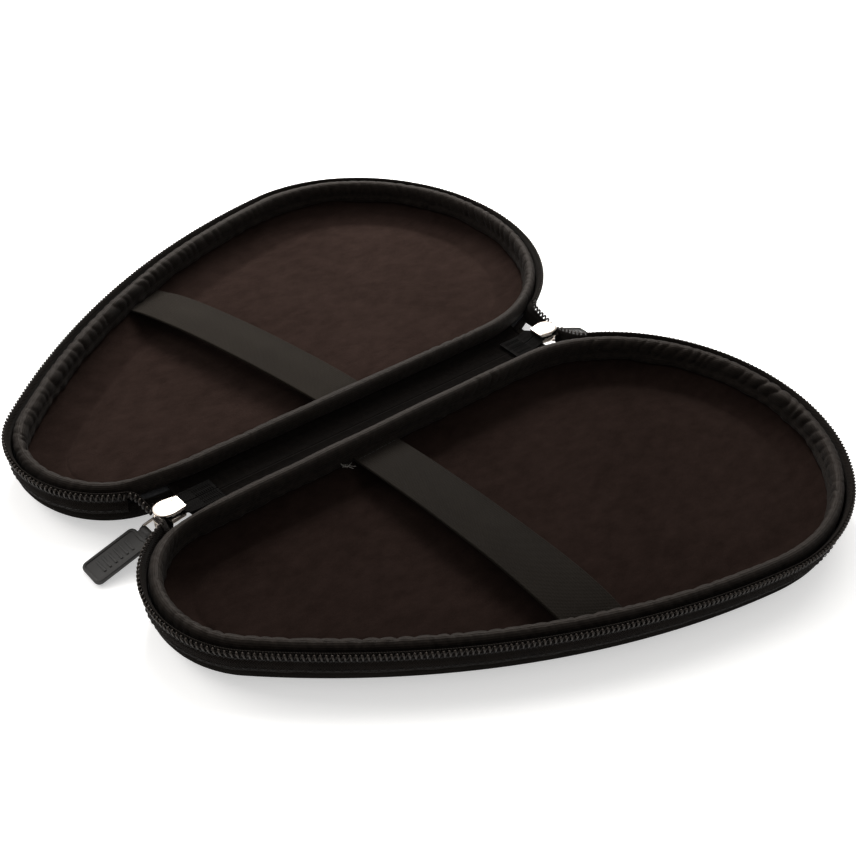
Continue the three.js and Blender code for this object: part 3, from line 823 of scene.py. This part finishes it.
def build_teeth(half, side):
    turns = int((ZIP_END - ZIP_START) / TOOTH_PITCH)
    shift = 0.5 if side < 0 else 0.0

    def at(t):
        return ZIP_START + (t + shift) * TOOTH_PITCH

    def centre(t):
        return place_line(at(t), COIL_INSET, COIL_MIDDLE, side)

    def leaning(t, along_normal, up):
        _, normal = outline(at(t))
        return np.concatenate([along_normal * normal * (side, 1), np.full((t.size, 1), up)], 1)

    def out(t):
        return leaning(t, math.cos(COIL_LEAN), -math.sin(COIL_LEAN))

    def head(t):
        return leaning(t, math.sin(COIL_LEAN), math.cos(COIL_LEAN))

    piece(f"{half}_teeth", [coil(centre, head, out, turns)], NYLON, half, f"{half}_zip_coil")

    rows = []
    t = np.arange(turns * 4 + 1) / 4
    for level in (-1.5 * MM, -0.4 * MM):
        over = COIL_DEPTH + 0.62 * WIRE_RADIUS + 0.2 * MM * np.cos(2 * np.pi * (t + 0.25))[:, None]
        rows.append(tube(centre(t) + over * out(t) + level * head(t), 0.17 * MM, 5))
    piece(f"{half}_teeth_stitching", rows, THREAD, half)


def stitch_row(path, normal, length=2.4 * MM, gap=0.9 * MM, radius=0.2 * MM, rise=0.16 * MM):
    """Parts for a row of stitches along a path, where normal is the fabric's outer side at each point."""
    run = lengths(path, False)
    thickness = radius * np.array([0.5, 0.95, 1, 0.95, 0.5])
    parts = []
    for start in np.arange(gap, run[-1] - length, length + gap):
        s = start + length * np.linspace(0, 1, 5)
        away = along(s, run, normal)
        bow_out = rise * np.sin(np.linspace(0, np.pi, 5))[:, None]
        parts.append(tube(along(s, run, path) + away * bow_out, thickness, 5, reference=away))
    return parts


def level_stitches(path, length, gap):
    return stitch_row(path, np.broadcast_to(UP, path.shape), length, gap)


def build_tape_stitches(half, side):
    s = np.linspace(ZIP_START + 2 * MM, ZIP_END - 2 * MM, 700)
    _, normal = outline(s)
    path = place_line(s, 0.12 * MM, MEETING_Z - 9.7 * MM, side)
    away = np.concatenate([normal * (side, 1), np.zeros((s.size, 1))], 1)
    piece(f"{half}_tape_stitches", stitch_row(path, away), THREAD, half)


# ---- Elastic straps ----

STRAP_HINGE_X = FOLD_X + 8.8 * MM
STRAP_TOP = FOLD_Z + 0.6 * MM
STRAP_CROWN = 4.5 * MM
STRAPS = {
    "base": {
        "hinge_y": 88 * MM, "slope": 0.037, "length": 126 * MM, "drop": 3 * MM, "tail": 7 * MM,
        "twist": 1.6 * MM,
    },
    "lid": {
        "hinge_y": 101 * MM, "slope": -0.245, "length": 120 * MM, "drop": 1.5 * MM, "tail": 9 * MM,
        "twist": -0.6 * MM,
    },
}
STRAP_RIBS = 22


def strap_line(length, drop, tail, steps=110):
    """Distance along and height of the strap's underside, past the ends of its CAD solid."""
    t = np.linspace(0, 1, steps)
    x = length * (3 * (1 - t) ** 2 * t * 0.3 + 3 * (1 - t) * t**2 * 0.85 + t**3)
    z = STRAP_TOP + STRAP_CROWN * 3 * (1 - t) * t - drop * t**3
    tail_steps = tail * np.array([0.35, 0.7, 1])
    fall = (z[-1] - z[-2]) / (x[-1] - x[-2])
    x = np.concatenate([[-4 * MM, -2 * MM], x, length + tail_steps])
    return x, np.concatenate([[z[0] + 0.4 * MM, z[0] + 0.1 * MM], z, z[-1] + tail_steps * fall * 0.6])


def build_strap(half, side):
    facts = STRAPS[half]
    x, z = strap_line(facts["length"], facts["drop"], facts["tail"])
    across = np.linspace(-0.5, 0.5, STRAP_RIBS * 4 + 1)
    edge = np.clip((0.5 - np.abs(across)) * STRAP_WIDTH / (0.6 * MM), 0, 1)
    rib = 0.07 * MM * np.abs(np.sin(np.pi * STRAP_RIBS * across))
    half_thick = STRAP_THICKNESS / 2 * np.sqrt(1 - (1 - edge) ** 2) + rib * edge
    half_thick[[0, -1]] = 0.08 * MM
    share = x[:, None] / facts["length"]
    lift = facts["twist"] * across * 2 * np.clip(share, 0, 1) ** 3
    lift = lift + 0.25 * MM * np.cos(2 * np.pi * across) * np.clip(share * (1 - share) * 4, 0, 1)
    middle = z[:, None] - STRAP_THICKNESS / 2 + lift
    width = STRAP_WIDTH * (1 + 0.004 * wander(x, 40 * MM, 17, 0.3))[:, None]
    upper, lower = (
        np.stack(np.broadcast_arrays(x[:, None], across * width, middle + face * half_thick), 2)
        for face in (1, -1)
    )
    rows = np.concatenate([upper, lower[:, ::-1]], 1)
    angle = math.atan(facts["slope"])
    cos, sin = math.cos(angle), math.sin(angle)
    corner_room = STRAP_WIDTH / 2 * abs(sin)
    turned = rows.copy()
    turned[..., 0] = rows[..., 0] * cos - rows[..., 1] * sin + STRAP_HINGE_X + corner_room
    turned[..., 1] = rows[..., 0] * sin + rows[..., 1] * cos + NARROW_Y + facts["hinge_y"]
    made = piece(f"{half}_elastic", [grid(turned * (side, 1, 1), False, True, caps=True)], ELASTICS[half],
                 half, f"{half}_strap")

    line = turned[3, 4:len(across) - 4] + np.array([0, 0, 0.02 * MM])
    piece(f"{half}_elastic_stitches", level_stitches(line * (side, 1, 1), 1.8 * MM, 0.6 * MM), THREAD,
          half)


# ---- Spine fabric ----

SPINE_LOW, SPINE_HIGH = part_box("spine_strip")
_, SPINE_LINING_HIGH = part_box("spine_lining")
SPINE_REACH = 4 * MM  # how far the fabric runs on towards each slider
FAR_FLAP_REACH = 9 * MM  # how far the outer sheet runs on, under the far slider
SPINE_OUTER = np.array([
    (1.0, -5.5), (0.85, -3.5), (0.7, -2.0), (0.45, -1.0), (0.0, -0.4), (-0.7, -0.15), (-2.5, -0.3),
    (-5.5, -0.5), (-9.0, -0.55),
]) * MM + (0, FOLD_Z)
SPINE_INNER = np.array([
    (4.2, 2.4), (3.0, 1.9), (1.8, 1.7), (0.8, 1.45), (0.0, 1.05), (-1.2, 0.65), (-3.0, 0.35),
    (-6.0, 0.25), (-9.0, 0.2),
]) * MM + (0, FOLD_Z)


def wall_x(y):
    """x of the outline beside the spine, which leaves the fold line along the wide arc."""
    past = np.clip(y - WIDE_Y, 0, None)
    before = np.clip(NARROW_Y - y, 0, None)
    return (FOLD_X + WIDE_RADIUS - np.sqrt(WIDE_RADIUS**2 - past**2)
            + NARROW_RADIUS - np.sqrt(NARROW_RADIUS**2 - before**2))


def spine_sheet(profile, y, thickness, side, sag, seed):
    """Thin sheet whose section runs from the half's wall (share 0) to the middle (share 1).

    profile rows are (distance out from the fold line, height), the last one at the middle."""
    out, height = resample(profile, 34)
    share = np.clip(-out / FOLD_X, 0, 1)
    edge = wall_x(y)[:, None] - FOLD_X
    x = FOLD_X + out + edge * (1 - share)
    x = np.where(out <= -FOLD_X + 1e-9, 0, x)
    wave = sag * (np.sin(np.pi * share * 2.2) * (0.6 + 0.4 * wander(y, 70 * MM, seed)[:, None]))
    wave = wave * np.clip(share * 6, 0, 1)
    z = height + wave
    upper = np.stack(np.broadcast_arrays(x, y[:, None], z), 2)
    normal = np.cross(unit(np.gradient(upper, axis=1)), (0, 1, 0))
    normal *= np.sign(normal[..., 2:3].mean())
    normal[:, -1] = (0, 0, 1)
    lower = upper - thickness * normal
    lower[:, -1, 0] = 0
    loop = np.concatenate([upper, lower[:, ::-1]], 1) * (side, 1, 1)
    return grid(loop, False, True, caps=True)


def blend_at_fold(made):
    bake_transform(made)


def build_spine(half, side):
    y_inner = np.linspace(SPINE_LOW.y - SPINE_REACH, SPINE_HIGH.y + SPINE_REACH, 150)
    y_outer = np.linspace(SPINE_LOW.y - SPINE_REACH, SPINE_HIGH.y + FAR_FLAP_REACH, 154)
    sheets = (
        ("outer", SPINE_OUTER, y_outer, (0.75 * MM, side, 0.12 * MM, 41), COVER, "cover_fabric",
         "spine_strip", 0.6 * MM, "cover_fabric"),
        ("inner", SPINE_INNER, y_inner, (0.5 * MM, side, 0.22 * MM, 43), SPINE_SATIN, "velour_lining",
         "spine_lining", 1.2 * MM, "rim_roll"),
    )
    for layer, profile, y, section, material, slot, node, near_wall, support in sheets:
        made = piece(f"{half}_spine_{layer}", [spine_sheet(profile, y, *section)], material)
        blend_at_fold(made)
        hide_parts(node)


# ---- Zip ends at the parked sliders ----


def slider_place(end):
    low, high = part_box(f"{end}_slider")
    return Vector((0, (low.y + high.y) / 2, high.z - PLATE - PLATE_GAP / 2))


def hermite(a, tangent_a, b, tangent_b, t):
    t = t[:, None]
    return ((2 * t**3 - 3 * t**2 + 1) * a + (t**3 - 2 * t**2 + t) * tangent_a
            + (3 * t**2 - 2 * t**3) * b + (t**3 - t**2) * tangent_b)


def lead_path(half, side, end, steps):
    """Middle of the coil from the zip to the slider's mouth, with its head and outer directions."""
    away = ENDS[end]
    s = np.array([ZIP_START if end == "near" else ZIP_END])
    start = place_line(s, COIL_INSET, COIL_MIDDLE, side)[0]
    _, normal = outline(s)
    level = np.array([side * normal[0, 0], normal[0, 1], 0])
    head_a = math.sin(COIL_LEAN) * level + (0, 0, math.cos(COIL_LEAN))
    out_a = math.cos(COIL_LEAN) * level - (0, 0, math.sin(COIL_LEAN))
    forward = np.array([-normal[0, 1], normal[0, 0]]) * (-1 if end == "near" else 1)
    tangent_a = np.array([side * forward[0], forward[1], 0])
    middle = slider_place(end)
    finish = np.array([side * 1.9 * MM, middle.y + away * 3.5 * MM, middle.z])
    tangent_b = np.array([0, -away, 0])
    reach = np.linalg.norm(finish - start) * 1.15
    t = np.linspace(0, 1, steps)
    path = hermite(start, reach * tangent_a, finish, reach * tangent_b, t)
    turn = (3 * t**2 - 2 * t**3)[:, None]
    tangent = unit(np.gradient(path, axis=0))
    head = (1 - turn) * head_a + turn * np.array([-side, 0, 0])
    head = unit(head - np.sum(head * tangent, 1, keepdims=True) * tangent)
    out = (1 - turn) * out_a + turn * np.array([0, 0, -1])
    out = out - np.sum(out * tangent, 1, keepdims=True) * tangent
    out = unit(out - np.sum(out * head, 1, keepdims=True) * head)
    return path, head, out


def build_lead(half, side, end):
    """Teeth and tape between a half's zip and the parked slider."""
    path, head, out = lead_path(half, side, end, 60)
    run = lengths(path, False)
    turns = max(3, int(run[-1] / TOOTH_PITCH))

    def follow(values):
        return lambda t: along(t / turns * run[-1], run, values)

    wound = coil(follow(path), follow(head), follow(out), turns, 0.5)
    teeth = piece(f"{half}_{end}_lead_teeth", [wound], NYLON)
    width = np.linspace(9.5, 4.6, len(path))[:, None] * MM
    back = COIL_DEPTH + 0.45 * MM
    levels = np.linspace(-0.12, 1, 12)
    top = path[:, None] - (levels * width)[..., None] * head[:, None] - (back * out)[:, None]
    under = top - 0.55 * MM * out[:, None]
    ribbon = grid(np.concatenate([top, under[:, ::-1]], 1), False, True, caps=True)
    tape = piece(f"{half}_{end}_lead_tape", [ribbon], TAPE)
    for made in (teeth, tape):
        blend_at_fold(made)


def build_chain_end(end):
    """Closed stub of chain behind the slider, its tapes sewn on the end of the spine."""
    away = ENDS[end]
    middle = slider_place(end)
    spine_end = SPINE_LOW.y if end == "near" else SPINE_HIGH.y
    sewn = 12 * MM
    sewn_z = SPINE_LINING_HIGH.z + 0.75 * MM
    chain_z = middle.z + 0.4 * MM
    line = np.array([
        (spine_end - away * sewn, sewn_z), (spine_end, sewn_z), (middle.y - away * 7.1 * MM, chain_z),
        (middle.y + away * 4 * MM, chain_z),
    ])
    t = np.linspace(0, len(line) - 1, 60)
    y, z = resample(line, 60)
    smooth = np.ones(9) / 9
    z = np.convolve(np.pad(z, 4, "edge"), smooth, "valid")
    parts = []
    for side in (-1, 1):
        half_width = np.interp(t, (0, 2, 2.2, 3), (6.5, 6.3, 4.2, 3.6)) * MM
        x = side * (0.15 * MM + np.linspace(0, 1, 14) * (half_width[:, None] - 0.15 * MM))
        top = np.stack(np.broadcast_arrays(x, y[:, None], z[:, None] + 0.25 * MM), 2)
        loop = np.concatenate([top, (top - (0, 0, 0.55 * MM))[:, ::-1]], 1)
        parts.append(grid(loop, False, True, caps=True))
    piece(f"{end}_chain_tapes", parts, CHAIN_TAPE, "spine", f"{end}_chain_end")

    joined = []
    first, last = middle.y - away * 8.5 * MM, middle.y + away * 4 * MM
    turns = int(abs(last - first) / TOOTH_PITCH)
    for side in (-1, 1):
        def centre(t, side=side):
            y_turn = first + (last - first) * (t + (0.5 if side > 0 else 0)) / turns
            x_turn, z_turn = np.full(t.size, side * 1.75 * MM), np.full(t.size, middle.z - 0.75 * MM)
            return np.stack([x_turn, y_turn, z_turn], 1)

        def head(t, side=side):
            return np.broadcast_to((-side, 0, 0), (t.size, 3))

        def out(t):
            return np.broadcast_to((0, 0, -1), (t.size, 3))

        joined.append(coil(centre, head, out, turns))
    piece(f"{end}_chain_teeth", joined, NYLON, "spine")

    tack = []
    tack_z = sewn_z + 0.27 * MM
    for k in range(9):
        y_tack = spine_end - away * (2.0 + 1.0 * k) * MM
        path = np.array([(-5.4 * MM, y_tack, tack_z), (5.4 * MM, y_tack + 0.8 * MM, tack_z)])
        fine = path[0] + np.linspace(0, 1, 12)[:, None] * (path[1] - path[0])
        tack += level_stitches(fine, 2.2 * MM, 0.4 * MM)
    piece(f"{end}_bar_tack", tack, CHAIN_TAPE, "spine")


# ---- Sliders, links and tabs ----


def turned_to(end, place_at):
    """Puts a part built pulling towards -Y at a place, turned half round at the far end."""
    sign = 1 if end == "near" else -1
    return lambda points: points * (sign, sign, 1) + np.array(place_at)


def plate_plan():
    half, nose = SLIDER_WIDTH / 2, SLIDER_LENGTH / 2
    t = np.linspace(0, 1, 14)[:, None]
    right = np.array([half, 0])
    tip = np.array([0, -nose])
    corner = np.array([half, -nose])
    curve = (1 - t) ** 2 * tip + 2 * t * (1 - t) * corner + t**2 * right
    tail_corner = 0.9 * MM
    angle = np.linspace(0, np.pi / 2, 6)
    tail_half = half * 0.82
    tail = np.stack([
        tail_half - tail_corner + tail_corner * np.cos(angle),
        nose - tail_corner + tail_corner * np.sin(angle),
    ], 1)
    side = np.concatenate([curve, tail])
    mirrored = side[::-1][:-1] * (-1, 1)
    return np.concatenate([side, mirrored])


def build_slider(end):
    centre = slider_place(end)
    put = turned_to(end, centre)
    plan = plate_plan()
    top = [(0.55, 0.0), (0.12, 0.06), (0.0, 0.3), (0.0, 0.75), (0.14, 0.98), (0.45, 1.1), (0.8, 1.13)]
    upper = [(inset, PLATE_GAP / 2 + height) for inset, height in scaled_rows(top)]
    lower = [(inset, -height) for inset, height in reversed(upper)]
    parts = [prism(plan, upper, put), prism(plan, lower, put)]
    rail_y = np.linspace(-1.0, 5.6, 16) * MM
    for side in (-1, 1):
        for level in (-1, 1):
            x = side * np.interp(rail_y, (-1 * MM, 5.6 * MM), (SLIDER_WIDTH / 2 - 0.75 * MM, 3.3 * MM))
            path = np.stack([x, rail_y, np.full(16, level * (PLATE_GAP / 2 - 0.35 * MM))], 1)
            parts.append(tube(put(path), 0.62 * MM, 8))
    crease_x = np.linspace(-3.3, 3.3, 9) * MM
    crease_y = 3.4 * MM - 0.06 * crease_x**2 / MM
    crease = np.stack([crease_x, crease_y, np.full(9, PLATE_GAP / 2 + PLATE - 0.05 * MM)], 1)
    parts.append(tube(put(crease), 0.3 * MM, 8))
    divider = rounded_rectangle(1.7 * MM, 3.0 * MM, 0.8 * MM, 6, (0, -4.3 * MM))
    parts.append(prism(divider, [(0, -PLATE_GAP / 2 - 0.2 * MM), (0, PLATE_GAP / 2 + 0.2 * MM)], put))
    parts.append(bridge(put))
    made = piece(f"{end}_slider_body", parts, NICKEL, f"{end}_slider", f"{end}_slider")
    keep_edges(made)


def bridge(put):
    """Arched bar under the slider that the link hangs on."""
    bridge_top = -PLATE_GAP / 2 - PLATE + 0.3 * MM
    bottom = -PLATE_GAP / 2 - PLATE - BRIDGE_DROP + 0.5 * MM
    first = -SLIDER_LENGTH / 2 + 0.9 * MM
    last = first + BRIDGE_SPAN - 1.0 * MM
    angle = np.linspace(np.pi, 0, 24)
    arch_y = (first + last) / 2 + (last - first) / 2 * squared(np.cos(angle), 0.45)
    arch_z = bridge_top + (bottom - bridge_top) * np.sin(angle) ** 0.45
    return tube(put(np.stack([np.zeros(24), arch_y, arch_z], 1)), 0.95 * MM, 12, reference=(1, 0, 0))


def keep_edges(made):
    """Keeps flat faces flat next to rounded edges."""
    made.data.set_sharp_from_angle(angle=math.radians(32))


def hanging(end, pivot, slope):
    """Places a hanging piece: its own -Y runs outward and down by the slope from the pivot."""
    sign = 1 if end == "near" else -1
    c, s = math.cos(slope), math.sin(slope)

    def put(points):
        y = points[:, 1] * c - points[:, 2] * s
        z = points[:, 1] * s + points[:, 2] * c
        return np.stack([sign * points[:, 0], sign * y, z], 1) + np.array(pivot)

    return put


def slope_between(a, b):
    return math.atan2(a[2] - b[2], abs(b[1] - a[1]))


def build_link(end):
    pivot, tab_pivot = joint_at(f"{end}_link_swing"), joint_at(f"{end}_tab_swing")
    put = hanging(end, pivot, slope_between(pivot, tab_pivot))
    plan = rounded_rectangle(LINK_WIDTH - LINK_BAR, LINK_LENGTH - LINK_BAR, 1.6 * MM, 8,
                             (0, -(LINK_LENGTH - LINK_BAR) / 2))
    loop = np.concatenate([plan, np.zeros((len(plan), 1))], 1)
    wire = tube(put(loop), LINK_BAR / 2 + 0.02 * MM, 12, closed=True)
    piece(f"{end}_link_loop", [wire], NICKEL, f"{end}_link", f"{end}_pull_link")


def build_tab(end):
    pivot = joint_at(f"{end}_tab_swing")
    low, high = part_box(f"{end}_pull_tab")
    far_y = low.y if end == "near" else high.y
    run = abs(far_y - pivot[1])
    slope = math.acos(min(1, (run - TAB_THICKNESS / 2 * 0.5) / TAB_LENGTH))
    put = hanging(end, pivot, slope)
    length = TAB_LENGTH - TAB_NECK
    centre = (0, -TAB_NECK - length / 2)
    plan = rounded_rectangle(TAB_WIDTH, length, 2.6 * MM, 10, centre)
    half = TAB_THICKNESS / 2
    edge = [
        (0.9, -1.2), (0.25, -1.02), (0, -0.5), (0, 0.65), (0.2, 1.08), (0.5, 1.2), (1.1, 1.2),
        (1.35, 1.05), (1.5, 0.75), (2.4, 0.7),
    ]
    parts = [prism(plan, scaled_rows(edge), put)]
    for k in range(TAB_RIBS):
        rib_y = -TAB_NECK - length * (0.24 + 0.105 * k)
        rib = rounded_rectangle(7.0 * MM, 1.1 * MM, 0.5 * MM, 5, (0, rib_y))
        rise = [(0, 0.3), (0, 0.95), (0.12, 1.08), (0.3, 1.12)]
        parts.append(prism(rib, scaled_rows(rise), put))
    neck = rounded_rectangle(6.2 * MM, 5.2 * MM, 1.2 * MM, 6, (0, -TAB_NECK + 0.6 * MM))
    bevel = [(0.3 * MM, -half * 0.9), (0, -half * 0.6), (0, half * 0.6), (0.3 * MM, half * 0.9)]
    parts.append(prism(neck, bevel, put))
    knuckle = np.stack([np.linspace(-3.1, 3.1, 9) * MM, np.zeros(9), np.zeros(9)], 1)
    swell = np.array([0.8, 0.97, 1, 1, 1, 1, 1, 0.97, 0.8]) * 1.9 * MM
    parts.append(tube(put(knuckle), swell, 16))
    made = piece(f"{end}_tab_rubber", parts, RUBBER, f"{end}_tab", f"{end}_pull_tab")
    keep_edges(made)


# ---- Loose thread at the base strap ----


def build_loose_thread():
    rng = np.random.default_rng(8)
    facts = STRAPS["base"]
    root = np.array([STRAP_HINGE_X + 1.2 * MM, NARROW_Y + facts["hinge_y"] - STRAP_WIDTH / 2 - 4 * MM,
                     STRAP_TOP - 1.5 * MM])
    parts = []
    for _ in range(7):
        direction = rng.normal(size=3) * (0.8, 1.6, 0.9)
        direction[2] = abs(direction[2])
        bend = rng.normal(size=3) * 1.2 * MM
        t = np.linspace(0, 1, 9)[:, None]
        start = root + rng.normal(size=3) * 0.5 * MM
        path = start + unit(direction) * t * 3.2 * MM + bend * t * (1 - t) * 2
        parts.append(tube(path, 0.1 * MM, 5, reference=(0.3, 0.2, 1)))
    piece("base_loose_thread", parts, PALE_THREAD, "base")


# ---- Assembly ----

for half, side in SIDES.items():
    build_cover(half, side)
    build_lining(half, side)
    build_binding(half, side, 11 if side > 0 else 23)
    build_tape(half, side)
    build_teeth(half, side)
    build_tape_stitches(half, side)
    build_strap(half, side)
    build_spine(half, side)
    for end in ENDS:
        build_lead(half, side, end)
    shell = frame["nodes"][f"{half}_shell"]
    shell.data.materials.clear()
    shell.data.materials.append(FOAM)

for end in ENDS:
    build_chain_end(end)
    build_slider(end)
    build_link(end)
    build_tab(end)
build_loose_thread()

# ---- Floor and light ----


FLOOR_HALF = 6.0
FLOOR_GLOW = 0.45
WORLD_COLOUR = (1.0, 0.985, 0.96, 1)
WORLD_STRENGTH = 0.5


def build_floor():
    size = FLOOR_HALF
    mesh = bpy.data.meshes.new("floor")
    corners = [(-size, -size, 0), (size, -size, 0), (size, size, 0), (-size, size, 0)]
    mesh.from_pydata(corners, [], [(0, 1, 2, 3)])
    shade = Shader("floor", Specular_IOR_Level=0.2)
    paper = shade.noise(0.4, 3)
    shade.colour(paper, (0.86, 0.86, 0.86), (0.9, 0.9, 0.9))
    shade.vary_roughness(paper, 0.85, 0.95)
    shade.surface.inputs["Emission Color"].default_value = (1, 1, 1, 1)
    shade.surface.inputs["Emission Strength"].default_value = FLOOR_GLOW
    mesh.materials.append(shade.material)
    floor = bpy.data.objects.new("floor", mesh)
    scene.collection.objects.link(floor)


STUDIO_WHITE = (1, 0.98, 0.95)


def soft_light(name, location, size, watts, aim=(0, 0, 0.02)):
    light = bpy.data.lights.new(name, "AREA")
    light.shape = "RECTANGLE"
    light.size, light.size_y = size
    light.energy = watts
    light.color = STUDIO_WHITE
    lamp = bpy.data.objects.new(name, light)
    lamp.location = location
    lamp.rotation_mode = "QUATERNION"
    lamp.rotation_quaternion = (Vector(aim) - Vector(location)).to_track_quat("-Z", "Y")
    scene.collection.objects.link(lamp)


def build_world():
    world = bpy.data.worlds.new("studio")
    scene.world = world
    world.use_nodes = True
    background = world.node_tree.nodes["Background"]
    background.inputs["Color"].default_value = WORLD_COLOUR
    background.inputs["Strength"].default_value = WORLD_STRENGTH


build_floor()
build_world()
soft_light("left_softbox", (-1.0, -0.75, 1.05), (0.9, 0.9), 11)
soft_light("top_softbox", (-0.35, 0.5, 1.5), (1.2, 0.6), 8)
soft_light("lid_softbox", (-0.50, 0.36, 0.52), (0.35, 0.35), 11, aim=(-0.12, 0.04, 0))
scene.view_settings.view_transform = "Standard"
